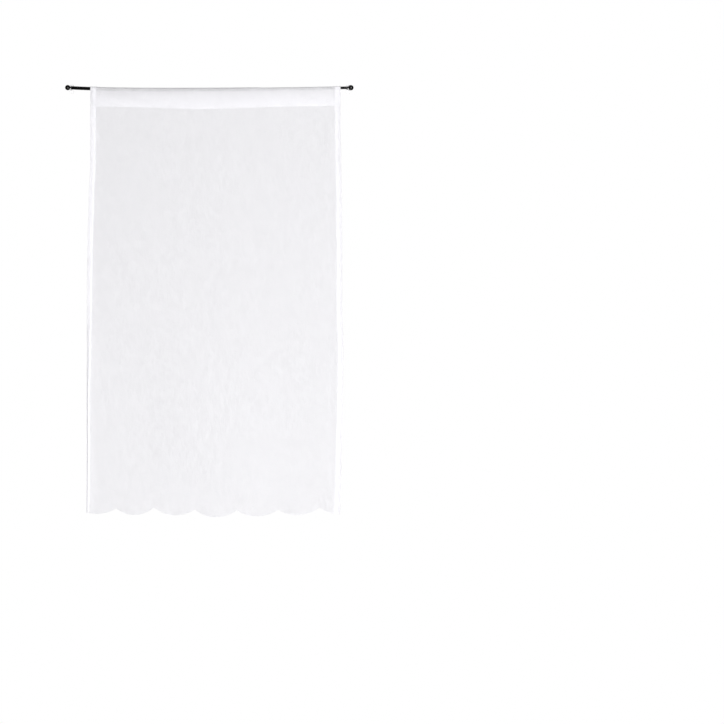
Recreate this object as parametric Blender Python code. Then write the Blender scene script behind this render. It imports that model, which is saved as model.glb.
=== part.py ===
"""Cafe curtain of sheer cloth, threaded by its own pocket on a slim extending rod in two small hooks.

Metres, +Z up. X runs along the rod, the curtain's front faces -Y, and the hooks' backs lie on the
plane Y = 0. The origin is the middle of the left hook's back face, level with the necks that rest in
the hooks.
"""

import math
from collections import namedtuple

import bmesh
import bpy
from mathutils import Matrix, Vector

# Gap that separate pieces keep where they touch.
CLEARANCE = 0.0003

# Rod: two thin-walled tubes, one inside the other, with a ball on a neck at each end.
HOOK_SPACING = 0.5796
ROD_STANDOFF = 0.015
OUTER_TUBE_DIAMETER = 0.0070
OUTER_TUBE_WALL = 0.00045
OUTER_TUBE_END = 0.3756
INNER_TUBE_DIAMETER = 0.0055
INNER_TUBE_WALL = 0.0004
INNER_TUBE_START = 0.2700
OUTER_TUBE_STEPS = 12
INNER_TUBE_STEPS = 10
TUBE_SIDES = 16
BALL_DIAMETER = 0.0110
NECK_DIAMETER = 0.0046
NECK_LENGTH = 0.0023
SHOULDER_LENGTH = 0.0008
PLUG_LENGTH = 0.0080
PLUG_LEAD_IN = 0.0006
PLUG_TIP_SHARE = 0.8
BALL_STEPS = 9
FINIAL_SIDES = 20

# The rod sags a little under the cloth, lowest left of its middle.
ROD_SAG = 0.0040
SAG_LOWEST_X = 0.2320
SAG_LEFT_POWER = 3.0
SAG_RIGHT_POWER = 1.7

# Hooks: a small plate with an arm that ends in an open cradle under the finial's neck. The cradle's front
# lip ends at an angle in degrees, counted from the window side over the top, so that the neck shows above it.
PLATE_WIDTH = 0.0076
PLATE_HEIGHT = 0.0180
PLATE_THICKNESS = 0.0020
PLATE_CORNER_RADIUS = 0.0020
PLATE_EDGE_BEVEL = 0.0004
ARM_WIDTH = 0.0016
CRADLE_WALL = 0.0014
CRADLE_FRONT_ANGLE = 225
CRADLE_BACK_RISE = 0.0012
ARM_TOP_DROP = 0.0003
GUSSET_LENGTH = 0.0040
GUSSET_RISE = 0.0028
ARM_ROOT_DEPTH = 0.0010
CRADLE_INNER_STEPS = 8
CRADLE_OUTER_STEPS = 4
CORNER_STEPS = 4

# Cloth, and the thicker places where it is turned under.
CLOTH_THICKNESS = 0.0012
TURNED_UNDER = 0.0006
SIDE_HEM = 0.0115
HEM_STEP = 0.0006
HEM_BEND = 0.0045
HEM_BEND_SHARES = (0.4, 0.7, 1.0)
HEM_BEND_STEPS = 24
POCKET_SLACK = 0.00035
STITCH_BELOW_ROD = 0.0350
HEADING_BELOW_ROD = 0.0370
HEADING_MIDDLE_X = 0.2850
HEADING_MIDDLE_SPREAD = 0.0850
HEADING_MIDDLE_DROP = 0.0034
HEADING_TURN_UNDER = 0.0157
BAND_STEP = 0.0008
POCKET_NARROWS_FROM = 0.3900
POCKET_NARROWS_TO = 0.4020
POCKET_ARC_STEPS = 8

# The side edges, row by row down the cloth: height, the left hem's inner line, the angle in degrees by
# which that hem has turned towards the front, the right hem's inner line, and the right hem's angle.
EdgeRow = namedtuple("EdgeRow", "height left_line left_turn right_line right_turn")
EDGE_ROWS = (
    EdgeRow(-0.0400, 0.0532, 0, 0.5522, 0),
    EdgeRow(-0.0900, 0.0520, 42, 0.5524, 3),
    EdgeRow(-0.1600, 0.0522, 38, 0.5538, 5),
    EdgeRow(-0.2345, 0.0490, 38, 0.5550, 0),
    EdgeRow(-0.3390, 0.0458, 45, 0.5560, -4),
    EdgeRow(-0.4435, 0.0448, 47, 0.5558, 5),
    EdgeRow(-0.5480, 0.0423, 69, 0.5584, 2),
    EdgeRow(-0.6525, 0.0392, 89, 0.5573, -6),
    EdgeRow(-0.7570, 0.0395, 88, 0.5545, 6),
    EdgeRow(-0.8970, 0.0380, 95, 0.5516, 8),
)

# The scalloped edge from left to right: where each scallop ends in a cusp, that cusp's height, how deep
# the scallop hangs below the line between its cusps, and how far its belly leans towards the front.
Scallop = namedtuple("Scallop", "end_x end_height depth lean")
FIRST_CUSP_X = 0.0120
FIRST_CUSP_HEIGHT = -0.8762
SCALLOPS = (
    Scallop(0.0949, -0.8788, 0.0126, 0.0000),
    Scallop(0.1739, -0.8772, 0.0145, 0.0016),
    Scallop(0.2591, -0.8811, 0.0141, -0.0010),
    Scallop(0.3464, -0.8828, 0.0151, 0.0020),
    Scallop(0.4339, -0.8820, 0.0130, -0.0006),
    Scallop(0.5198, -0.8775, 0.0130, 0.0018),
    Scallop(0.6020, -0.8765, 0.0135, 0.0004),
)
COLUMNS_PER_SCALLOP = 8
LEAN_REACH = 0.0600

# Along the turned left hem the scalloped edge rises only by this share of what it would rise if it lay flat.
LEFT_HEM_CURVE_SHARE = 0.35

# Soft folds in the hanging cloth: where each starts, its half width, its depth towards the front, its
# upper and lower ends, and how far it drifts sideways for each metre down.
Fold = namedtuple("Fold", "x spread depth top bottom drift")
FOLDS = (
    Fold(0.0720, 0.0110, -0.0012, -0.0500, -0.1500, -0.25),
    Fold(0.5420, 0.0100, 0.0011, -0.0450, -0.2000, 0.00),
    Fold(0.3000, 0.1500, 0.0032, -0.0900, -1.2000, 0.00),
    Fold(0.1500, 0.0550, -0.0020, -0.3000, -1.1000, 0.02),
    Fold(0.4550, 0.0500, -0.0024, -0.4500, -1.2000, -0.06),
    Fold(0.5050, 0.0160, 0.0014, -0.7800, -0.9600, 0.60),
)

# Rows down the hanging cloth, as shares of the way from the heading's lower edge to the scalloped edge.
ROW_SHARES = (0.0, 0.06, 0.12, 0.17, 0.22, 0.28, 0.36, 0.45, 0.53, 0.61, 0.69, 0.78, 0.87, 0.94, 1.0)

CLOTH_COLOUR = (0.90, 0.90, 0.91)
ROD_COLOUR = (0.012, 0.012, 0.013)
HOOK_COLOUR = (0.88, 0.88, 0.87)

# Edges sharper than this many degrees stay sharp in the shading.
SHARP_ANGLE = 35


def remove_scene_objects():
    for found in list(bpy.data.objects):
        bpy.data.objects.remove(found, do_unlink=True)


def make_material(name, colour, roughness, metallic=0.0):
    material = bpy.data.materials.new(name)
    material.use_nodes = True
    shader = material.node_tree.nodes["Principled BSDF"]
    shader.inputs["Base Color"].default_value = (*colour, 1.0)
    shader.inputs["Roughness"].default_value = roughness
    shader.inputs["Metallic"].default_value = metallic
    return material


def add_object(name, mesh_builder, material=None):
    """Turn a bmesh into a named object with its normals pointing out."""
    bmesh.ops.recalc_face_normals(mesh_builder, faces=mesh_builder.faces)
    mesh = bpy.data.meshes.new(name)
    mesh_builder.to_mesh(mesh)
    mesh_builder.free()
    mesh.shade_smooth()
    mesh.set_sharp_from_angle(angle=math.radians(SHARP_ANGLE))
    made = bpy.data.objects.new(name, mesh)
    bpy.context.scene.collection.objects.link(made)
    if material is not None:
        mesh.materials.append(material)
    return made


def bridge_rings(builder, first, second):
    """Join two closed rings of equally many vertices with quads."""
    count = len(first)
    for i in range(count):
        j = (i + 1) % count
        builder.faces.new((first[i], first[j], second[j], second[i]))


# The rod's line


def rod_drop(x):
    """How far the rod's axis lies below the necks at x."""
    if x < SAG_LOWEST_X:
        reach = (SAG_LOWEST_X - x) / SAG_LOWEST_X
        return ROD_SAG * (1 - reach**SAG_LEFT_POWER)
    reach = (x - SAG_LOWEST_X) / (HOOK_SPACING - SAG_LOWEST_X)
    return ROD_SAG * (1 - reach**SAG_RIGHT_POWER)


def rod_slope(x):
    """Angle of the rod's axis at x, positive where it climbs towards +X."""
    step = 0.001
    return math.atan2(rod_drop(x - step) - rod_drop(x + step), 2 * step)


def rod_point(x):
    return Vector((x, -ROD_STANDOFF, -rod_drop(x)))


# Tubes


def tube_ring(builder, x, radius):
    """A ring of vertices square to the rod's axis."""
    tilt = Matrix.Rotation(-rod_slope(x), 3, "Y")
    ring = []
    for i in range(TUBE_SIDES):
        angle = 2 * math.pi * i / TUBE_SIDES
        offset = Vector((0, radius * math.cos(angle), radius * math.sin(angle)))
        ring.append(builder.verts.new(rod_point(x) + tilt @ offset))
    return ring


def make_tube(name, start, end, diameter, wall, steps, material):
    """A hollow tube along the rod's line: out along the outer skin, back along the bore."""
    builder = bmesh.new()
    stations = [start + (end - start) * i / steps for i in range(steps + 1)]
    outer = [tube_ring(builder, x, diameter / 2) for x in stations]
    bore = [tube_ring(builder, x, diameter / 2 - wall) for x in reversed(stations)]
    rings = outer + bore
    for i, ring in enumerate(rings):
        bridge_rings(builder, ring, rings[(i + 1) % len(rings)])
    return add_object(name, builder, material)


# Finials


def finial_profile(tube_diameter, tube_wall):
    """Distance outwards from the neck's middle, and radius, from the plug's end to the ball's pole."""
    plug_radius = tube_diameter / 2 - tube_wall - CLEARANCE
    shoulder = -NECK_LENGTH / 2 - SHOULDER_LENGTH
    profile = [
        (shoulder - PLUG_LENGTH, plug_radius * PLUG_TIP_SHARE),
        (shoulder - PLUG_LENGTH + PLUG_LEAD_IN, plug_radius),
        (shoulder, plug_radius),
        (shoulder, tube_diameter / 2),
        (-NECK_LENGTH / 2, tube_diameter / 2),
        (-NECK_LENGTH / 2, NECK_DIAMETER / 2),
        (NECK_LENGTH / 2, NECK_DIAMETER / 2),
    ]
    radius = BALL_DIAMETER / 2
    neck_angle = math.asin(NECK_DIAMETER / 2 / radius)
    centre = NECK_LENGTH / 2 + radius * math.cos(neck_angle)
    for i in range(1, BALL_STEPS):
        angle = neck_angle + (math.pi - neck_angle) * i / BALL_STEPS
        profile.append((centre - radius * math.cos(angle), radius * math.sin(angle)))
    return profile, centre + radius


def make_finial(name, x, outwards, tube_diameter, tube_wall, material):
    """Turned about its own X axis and set on the rod's line, pointing outwards (+1 right, -1 left)."""
    builder = bmesh.new()
    profile, pole = finial_profile(tube_diameter, tube_wall)
    rings = []
    for along, radius in profile:
        ring = []
        for i in range(FINIAL_SIDES):
            angle = 2 * math.pi * i / FINIAL_SIDES
            ring.append(builder.verts.new((along, radius * math.cos(angle), radius * math.sin(angle))))
        rings.append(ring)
    for first, second in zip(rings, rings[1:]):
        bridge_rings(builder, first, second)
    builder.faces.new(rings[0])
    tip = builder.verts.new((pole, 0, 0))
    for i, vertex in enumerate(rings[-1]):
        builder.faces.new((vertex, rings[-1][(i + 1) % FINIAL_SIDES], tip))
    finial = add_object(name, builder, material)
    finial.location = rod_point(x)
    turn = 0 if outwards > 0 else math.pi
    finial.rotation_euler = (0, -outwards * rod_slope(x), turn)
    return finial


# Hooks


def arc_points(centre, radius, start, end, steps):
    """Points on an arc in the YZ plane, angles in degrees from +Y towards +Z."""
    points = []
    for i in range(steps + 1):
        angle = math.radians(start + (end - start) * i / steps)
        points.append((centre[0] + radius * math.cos(angle), centre[1] + radius * math.sin(angle)))
    return points


def hook_arm_outline():
    """Side outline of the arm and its cradle, as (Y, Z)."""
    axis = (-ROD_STANDOFF, 0)
    inner = NECK_DIAMETER / 2 + CLEARANCE
    outer = inner + CRADLE_WALL
    middle = inner + CRADLE_WALL / 2
    root_y = -PLATE_THICKNESS + ARM_ROOT_DEPTH
    plate_y = -PLATE_THICKNESS
    front = CRADLE_FRONT_ANGLE
    front_lip = arc_points(axis, middle, front, front, 1)[0]
    back_lip = (axis[0] + middle, CRADLE_BACK_RISE)
    outline = [(root_y, -outer)]
    outline += arc_points(axis, outer, 270, front, CRADLE_OUTER_STEPS)
    outline += arc_points(front_lip, CRADLE_WALL / 2, front, front - 180, CORNER_STEPS)[1:-1]
    outline += arc_points(axis, inner, front, 360, CRADLE_INNER_STEPS)
    outline += arc_points(back_lip, CRADLE_WALL / 2, 180, 0, CORNER_STEPS)
    outline.append((axis[0] + outer, -ARM_TOP_DROP))
    outline.append((plate_y - GUSSET_LENGTH, -ARM_TOP_DROP))
    outline.append((plate_y, GUSSET_RISE))
    outline.append((root_y, GUSSET_RISE))
    return outline


def plate_outline():
    """Front outline of the plate, as (X, Z), with round corners."""
    across = PLATE_WIDTH / 2 - PLATE_CORNER_RADIUS
    up = PLATE_HEIGHT / 2 - PLATE_CORNER_RADIUS
    outline = []
    for side, top, start in ((1, 1, 0), (-1, 1, 90), (-1, -1, 180), (1, -1, 270)):
        corner = (side * across, top * up)
        outline += arc_points(corner, PLATE_CORNER_RADIUS, start, start + 90, CORNER_STEPS)
    return outline


def prism(points, offset):
    """A closed prism: the points' polygon, moved along offset."""
    builder = bmesh.new()
    base = builder.faces.new([builder.verts.new(point) for point in points])
    moved = bmesh.ops.extrude_face_region(builder, geom=[base])
    corners = [part for part in moved["geom"] if isinstance(part, bmesh.types.BMVert)]
    bmesh.ops.translate(builder, verts=corners, vec=offset)
    return builder


def make_hook(name, x, material):
    plate_builder = prism([(across, 0, up) for across, up in plate_outline()], (0, -PLATE_THICKNESS, 0))
    front_edges = [
        edge for edge in plate_builder.edges if all(v.co.y < -PLATE_THICKNESS / 2 for v in edge.verts)
    ]
    bmesh.ops.bevel(plate_builder, geom=front_edges, offset=PLATE_EDGE_BEVEL, segments=1, affect="EDGES")
    hook = add_object(name, plate_builder, material)
    arm_points = [(-ARM_WIDTH / 2, y, z) for y, z in hook_arm_outline()]
    arm = add_object(name + "_arm", prism(arm_points, (ARM_WIDTH, 0, 0)))
    arm.display_type = "WIRE"
    arm.hide_render = True
    union = hook.modifiers.new("arm", "BOOLEAN")
    union.operation = "UNION"
    union.solver = "EXACT"
    union.object = arm
    hook.location.x = x
    arm.location.x = x
    return hook


# Cloth


def row_value(height, column):
    """A column of EDGE_ROWS at a height, read along smooth curves between the rows."""
    heights = [row.height for row in EDGE_ROWS]
    values = [getattr(row, column) for row in EDGE_ROWS]
    if height >= heights[0]:
        return values[0]
    if height <= heights[-1]:
        return values[-1]
    i = max(k for k in range(len(heights) - 1) if heights[k] >= height)
    share = (heights[i] - height) / (heights[i] - heights[i + 1])
    ease = share * share * (3 - 2 * share)
    return values[i] + (values[i + 1] - values[i]) * ease


def scalloped_height(x):
    """Height of the lower edge: one circular arc for each scallop."""
    start_x, start_height = FIRST_CUSP_X, FIRST_CUSP_HEIGHT
    for scallop in SCALLOPS:
        if x <= scallop.end_x:
            half = (scallop.end_x - start_x) / 2
            radius = (half**2 + scallop.depth**2) / (2 * scallop.depth)
            from_middle = x - start_x - half
            hang = math.sqrt(radius**2 - from_middle**2) - (radius - scallop.depth)
            share = (x - start_x) / (scallop.end_x - start_x)
            return start_height + (scallop.end_height - start_height) * share - hang
        start_x, start_height = scallop.end_x, scallop.end_height
    return start_height


def scallop_lean(x):
    """How far the lower edge leans towards the front at x."""
    start_x = FIRST_CUSP_X
    for scallop in SCALLOPS:
        if x <= scallop.end_x:
            share = (x - start_x) / (scallop.end_x - start_x)
            return scallop.lean * math.sin(math.pi * share) ** 2
        start_x = scallop.end_x
    return 0.0


def smooth_step(value):
    value = min(max(value, 0.0), 1.0)
    return value * value * (3 - 2 * value)


def fold_depth(x, height, edge_height):
    """How far the hanging cloth lies in front of the plane under the rod."""
    total = 0.0
    for fold in FOLDS:
        length = fold.top - fold.bottom
        share = (fold.top - height) / length
        if not 0 < share < 1:
            continue
        across = (x - fold.x - fold.drift * (fold.top - height)) / fold.spread
        total += fold.depth * math.exp(-across * across) * math.sin(math.pi * share) ** 2
    lean = scallop_lean(x) * smooth_step((edge_height + LEAN_REACH - height) / LEAN_REACH)
    return total + lean


def turned_hem(distance, angle):
    """Where a point of a hem lies, sideways and forwards from its inner line, and the cloth's angle there."""
    step = distance / HEM_BEND_STEPS
    sideways, forwards = 0.0, 0.0
    for i in range(HEM_BEND_STEPS):
        bend = math.radians(angle) * smooth_step((i + 0.5) * step / HEM_BEND)
        sideways += math.cos(bend) * step
        forwards += math.sin(bend) * step
    return sideways, forwards, math.radians(angle) * smooth_step(distance / HEM_BEND)


# Columns across the cloth. A hem's column is counted by its distance outside the hem's inner line, the
# others by where they meet the scalloped edge.
Column = namedtuple("Column", "place value thickened")


def hem_columns(place):
    bend = [HEM_BEND * share for share in HEM_BEND_SHARES]
    distances = [HEM_STEP, *bend, (HEM_BEND + SIDE_HEM) / 2, SIDE_HEM]
    return [Column(place, distance, True) for distance in distances]


def cloth_columns():
    left_line = EDGE_ROWS[-1].left_line
    right_line = EDGE_ROWS[-1].right_line
    places = []
    start_x = FIRST_CUSP_X
    for scallop in SCALLOPS:
        step = (scallop.end_x - start_x) / COLUMNS_PER_SCALLOP
        places += [start_x + step * i for i in range(COLUMNS_PER_SCALLOP)]
        start_x = scallop.end_x
    margin = step / 2
    inside = [x for x in places if left_line + margin < x < right_line - margin]
    panel = [Column("panel", x, False) for x in [left_line, *inside, right_line]]
    return list(reversed(hem_columns("left"))) + panel + hem_columns("right")


def cloth_middle(column, height, edge_height=None):
    """A point of the cloth's front skin, and the direction to its back, for a column at a height."""
    left = row_value(height, "left_line")
    right = row_value(height, "right_line")
    if column.place == "panel":
        bottom = EDGE_ROWS[-1]
        share = (column.value - bottom.left_line) / (bottom.right_line - bottom.left_line)
        x, forwards, bend, side = left + (right - left) * share, 0.0, 0.0, 1
        line_x = x
    else:
        side = -1 if column.place == "left" else 1
        line_x = left if side < 0 else right
        sideways, forwards, bend = turned_hem(column.value, row_value(height, column.place + "_turn"))
        x = line_x + side * sideways
    if edge_height is not None:
        forwards += fold_depth(line_x, height, edge_height)
    point = Vector((x, -ROD_STANDOFF - CLOTH_THICKNESS - forwards, height))
    back = Vector((side * math.sin(bend), math.cos(bend), 0))
    return point, back


def pocket_radius(x):
    """Inner radius of the pocket where it lies over the rod: the thick tube first, then the thin one."""
    share = smooth_step((x - POCKET_NARROWS_FROM) / (POCKET_NARROWS_TO - POCKET_NARROWS_FROM))
    radius = OUTER_TUBE_DIAMETER / 2 + (INNER_TUBE_DIAMETER - OUTER_TUBE_DIAMETER) / 2 * share
    return radius + POCKET_SLACK


def middle_drop(x):
    """How much lower the heading's edge and its stitches lie at x than at the sides, measured from the rod."""
    across = (x - HEADING_MIDDLE_X) / HEADING_MIDDLE_SPREAD
    return HEADING_MIDDLE_DROP * math.exp(-across * across)


def pocket_section(x, hem_thickness):
    """Outer and inner points of the pocket round the rod at x, from the front's stitching to the back's."""
    radius = pocket_radius(x)
    stitch_drop = STITCH_BELOW_ROD + middle_drop(x)
    lean = math.asin(radius / stitch_drop)
    start = math.pi + lean
    end = -lean
    outer, inner = [], []
    for i in range(POCKET_ARC_STEPS + 1):
        angle = start + (end - start) * i / POCKET_ARC_STEPS
        direction = Vector((math.cos(angle), math.sin(angle)))
        inner.append(direction * radius)
        outer.append(direction * (radius + CLOTH_THICKNESS))
    stitches = Vector((0, -stitch_drop))
    outwards = Vector((math.cos(lean), -math.sin(lean)))
    outer.insert(0, stitches + Vector((-outwards.x, outwards.y)) * CLOTH_THICKNESS)
    leg = inner[-1] - stitches
    band_share = (HEADING_TURN_UNDER - HEADING_BELOW_ROD + STITCH_BELOW_ROD) / stitch_drop
    band_top = stitches + leg * band_share
    plain = CLOTH_THICKNESS + hem_thickness
    outer.append(band_top + leg.normalized() * BAND_STEP + outwards * plain)
    outer.append(band_top + outwards * (plain + TURNED_UNDER))
    outer.append(Vector((plain + TURNED_UNDER, -HEADING_BELOW_ROD - middle_drop(x))))
    return outer, [stitches, *inner]


def make_curtain(material):
    """One closed sheet: the cloth's front, over the rod, down the pocket's back and the cloth's back."""
    builder = bmesh.new()
    columns = cloth_columns()
    outer_rings, inner_rings = [], []
    rows = len(ROW_SHARES)
    for column in columns:
        heading, _ = cloth_middle(column, EDGE_ROWS[0].height)
        rod = rod_point(heading.x)
        top = rod.z - HEADING_BELOW_ROD - middle_drop(heading.x)
        hem_thickness = TURNED_UNDER if column.thickened else 0.0
        lower_x = cloth_middle(column, EDGE_ROWS[-1].height)[0].x
        if column.place == "left":
            lower_x = EDGE_ROWS[-1].left_line - column.value * LEFT_HEM_CURVE_SHARE
        bottom = scalloped_height(lower_x)
        front, back = [], []
        for share in ROW_SHARES:
            height = top + (bottom - top) * share
            point, towards_back = cloth_middle(column, height, bottom)
            front.append(point)
            back.append(point + towards_back * (CLOTH_THICKNESS + hem_thickness))
        front[0].x = back[0].x = heading.x
        back[0].y = rod.y
        outer, inner = pocket_section(heading.x, hem_thickness)
        pocket = [Vector((heading.x, rod.y + point.x, rod.z + point.y)) for point in outer]
        ring = list(reversed(front)) + pocket + back
        outer_rings.append([builder.verts.new(point) for point in ring])
        hollow = [Vector((heading.x, rod.y + point.x, rod.z + point.y)) for point in inner]
        inner_rings.append([builder.verts.new(point) for point in hollow])
    for first, second in zip(outer_rings, outer_rings[1:]):
        bridge_rings(builder, first, second)
    for first, second in zip(inner_rings, inner_rings[1:]):
        bridge_rings(builder, second, first)
    for outer, inner in ((outer_rings[0], inner_rings[0]), (outer_rings[-1], inner_rings[-1])):
        close_cloth_edge(builder, outer, inner, rows)
    return add_object("curtain", builder, material)


def close_cloth_edge(builder, outer, inner, rows):
    """The cut side of the cloth: the hanging part, the stitched corner, and round the pocket."""
    front = outer[rows - 1 :: -1]
    pocket = outer[rows:-rows]
    back = outer[-rows:]
    for i in range(rows - 1):
        builder.faces.new((front[i], front[i + 1], back[i + 1], back[i]))
    stitches, arc = inner[0], inner[1:]
    over_rod = pocket[1 : 1 + len(arc)]
    band = pocket[1 + len(arc) :]
    builder.faces.new((front[0], pocket[0], stitches, band[-1], back[0]))
    builder.faces.new((pocket[0], over_rod[0], arc[0], stitches))
    for i in range(len(arc) - 1):
        builder.faces.new((over_rod[i], over_rod[i + 1], arc[i + 1], arc[i]))
    builder.faces.new((over_rod[-1], *band, stitches, arc[-1]))


def main():
    remove_scene_objects()
    cloth = make_material("sheer_cloth", CLOTH_COLOUR, 0.9)
    rod_finish = make_material("black_rod", ROD_COLOUR, 0.25, 0.6)
    hook_finish = make_material("white_hook", HOOK_COLOUR, 0.4)
    tube_start = NECK_LENGTH / 2 + SHOULDER_LENGTH + CLEARANCE
    make_curtain(cloth)
    make_tube(
        "rod_outer_tube", tube_start, OUTER_TUBE_END,
        OUTER_TUBE_DIAMETER, OUTER_TUBE_WALL, OUTER_TUBE_STEPS, rod_finish,
    )
    make_tube(
        "rod_inner_tube", INNER_TUBE_START, HOOK_SPACING - tube_start,
        INNER_TUBE_DIAMETER, INNER_TUBE_WALL, INNER_TUBE_STEPS, rod_finish,
    )
    make_finial("finial_left", 0, -1, OUTER_TUBE_DIAMETER, OUTER_TUBE_WALL, rod_finish)
    make_finial("finial_right", HOOK_SPACING, 1, INNER_TUBE_DIAMETER, INNER_TUBE_WALL, rod_finish)
    make_hook("hook_left", 0, hook_finish)
    make_hook("hook_right", HOOK_SPACING, hook_finish)


main()
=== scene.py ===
"""Looks of the cafe curtain: a sheer sheet with its pocket, hems and stitching, on a black rod in two hooks.

Metres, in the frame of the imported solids: X runs along the rod, the front faces -Y, and +Z is up.
"""

import math
from collections import namedtuple

import bmesh
import bpy
from mathutils import Matrix, Vector, noise


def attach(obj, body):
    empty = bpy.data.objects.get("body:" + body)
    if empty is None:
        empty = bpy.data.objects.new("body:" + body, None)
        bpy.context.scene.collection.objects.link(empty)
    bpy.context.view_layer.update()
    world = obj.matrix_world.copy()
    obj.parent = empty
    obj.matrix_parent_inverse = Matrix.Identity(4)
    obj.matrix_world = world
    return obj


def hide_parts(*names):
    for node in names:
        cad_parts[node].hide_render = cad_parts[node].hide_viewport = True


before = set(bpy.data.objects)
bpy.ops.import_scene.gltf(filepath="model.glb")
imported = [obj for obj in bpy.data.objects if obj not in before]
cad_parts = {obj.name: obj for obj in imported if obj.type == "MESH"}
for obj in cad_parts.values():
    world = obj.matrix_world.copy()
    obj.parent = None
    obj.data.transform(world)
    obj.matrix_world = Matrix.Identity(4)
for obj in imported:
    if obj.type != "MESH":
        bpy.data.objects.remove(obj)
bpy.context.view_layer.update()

# Rod
HOOK_SPACING = 0.5796
ROD_STANDOFF = 0.015
OUTER_TUBE_DIAMETER = 0.0070
OUTER_TUBE_WALL = 0.00045
OUTER_TUBE_END = 0.3756
INNER_TUBE_DIAMETER = 0.0055
INNER_TUBE_WALL = 0.0004
INNER_TUBE_START = 0.2700
TUBE_LIP_RADIUS = 0.00018
TUBE_LIP_STEPS = 3
TUBE_STATION_STEP = 0.0065
BALL_DIAMETER = 0.0110
NECK_DIAMETER = 0.0046
NECK_LENGTH = 0.0023
SHOULDER_LENGTH = 0.0008
SHOULDER_ROUNDING = 0.0003
SHOULDER_STEPS = 3
PLUG_LENGTH = 0.0080
PLUG_CHAMFER = 0.0006
PLUG_END_SHARE = 0.8
CLEARANCE = 0.0003
BALL_STEPS = 22
ROUND_SIDES = 48
PIECE_SHARP_ANGLE = 35
ROD_SAG = 0.0040
SAG_LOWEST_X = 0.2320
SAG_LEFT_POWER = 3.0
SAG_RIGHT_POWER = 1.7
SLOPE_STEP = 0.001

# Hooks, with the angles in degrees above which an edge is sharp and below which two faces are one.
HOOK_EDGE_BEVEL = 0.00022
HOOK_BEVEL_STEPS = 3
HOOK_SHARP_ANGLE = 30
WELD_DISTANCE = 0.00001
FLAT_ANGLE = 0.5

# Cloth: sizes of its hems and pocket, and the spacing of its layers where it is folded over.
SOLID_THICKNESS = 0.0012
SIDE_HEM = 0.0115
SIDE_RAW_EDGE = 0.0063
HEM_BEND = 0.0045
HEM_BEND_STEPS = 24
MIDDLE_LAYER = 0.0003
BACK_LAYER = 0.0006
POCKET_SLACK = 0.00035
STITCH_BELOW_ROD = 0.0350
HEADING_BELOW_ROD = 0.0370
HEADING_MIDDLE_X = 0.2850
HEADING_MIDDLE_SPREAD = 0.0850
HEADING_MIDDLE_DROP = 0.0034
HEADING_TURN_UNDER = 0.0157
POCKET_NARROWS_FROM = 0.3900
POCKET_NARROWS_TO = 0.4020
GAP_BEHIND_FRONT = 0.0003
GAP_IN_HEADING = 0.0003
HEM_GAP_BEHIND_FRONT = 0.0005
HEM_GAP_IN_HEADING = 0.0011
HEM_GAP_REACH = 0.0060
CUT_LENGTH_ABOVE_STITCHES = 0.1030

# The side edges, row by row down the cloth: height, the left hem's inner line, the angle in degrees by which
# that hem has turned towards the front, the right hem's inner line, and the right hem's angle.
EdgeRow = namedtuple("EdgeRow", "height left_line left_turn right_line right_turn")
EDGE_ROWS = (
    EdgeRow(-0.0400, 0.0532, 0, 0.5522, 0),
    EdgeRow(-0.0900, 0.0520, 42, 0.5524, 3),
    EdgeRow(-0.1600, 0.0522, 38, 0.5538, 5),
    EdgeRow(-0.2345, 0.0490, 38, 0.5550, 0),
    EdgeRow(-0.3390, 0.0458, 45, 0.5560, -4),
    EdgeRow(-0.4435, 0.0448, 47, 0.5558, 5),
    EdgeRow(-0.5480, 0.0423, 69, 0.5584, 2),
    EdgeRow(-0.6525, 0.0392, 89, 0.5573, -6),
    EdgeRow(-0.7570, 0.0395, 88, 0.5545, 6),
    EdgeRow(-0.8970, 0.0380, 95, 0.5516, 8),
)

# The scalloped edge from left to right: where each scallop ends in a cusp, that cusp's height, how deep the
# scallop hangs below the line between its cusps, and how far its belly leans towards the front.
Scallop = namedtuple("Scallop", "end_x end_height depth lean")
FIRST_CUSP_X = 0.0120
FIRST_CUSP_HEIGHT = -0.8762
SCALLOPS = (
    Scallop(0.0949, -0.8788, 0.0126, 0.0000),
    Scallop(0.1739, -0.8772, 0.0145, 0.0016),
    Scallop(0.2591, -0.8811, 0.0141, -0.0010),
    Scallop(0.3464, -0.8828, 0.0151, 0.0020),
    Scallop(0.4339, -0.8820, 0.0130, -0.0006),
    Scallop(0.5198, -0.8775, 0.0130, 0.0018),
    Scallop(0.6020, -0.8765, 0.0135, 0.0004),
)
LEAN_REACH = 0.0600

# The turned left hem's lower edge follows the curve for only this share of the hem's width.
LEFT_HEM_CURVE_SHARE = 0.35

# Soft folds in the hanging cloth: where each starts, its half width, its depth towards the front, its upper
# and lower ends, and how far it drifts sideways for each metre down.
Fold = namedtuple("Fold", "x spread depth top bottom drift")
FOLDS = (
    Fold(0.0720, 0.0110, -0.0012, -0.0500, -0.1500, -0.25),
    Fold(0.5420, 0.0100, 0.0011, -0.0450, -0.2000, 0.00),
    Fold(0.3000, 0.1500, 0.0032, -0.0900, -1.2000, 0.00),
    Fold(0.1500, 0.0550, -0.0020, -0.3000, -1.1000, 0.02),
    Fold(0.4550, 0.0500, -0.0024, -0.4500, -1.2000, -0.06),
    Fold(0.5050, 0.0160, 0.0014, -0.7800, -0.9600, 0.60),
)

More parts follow.
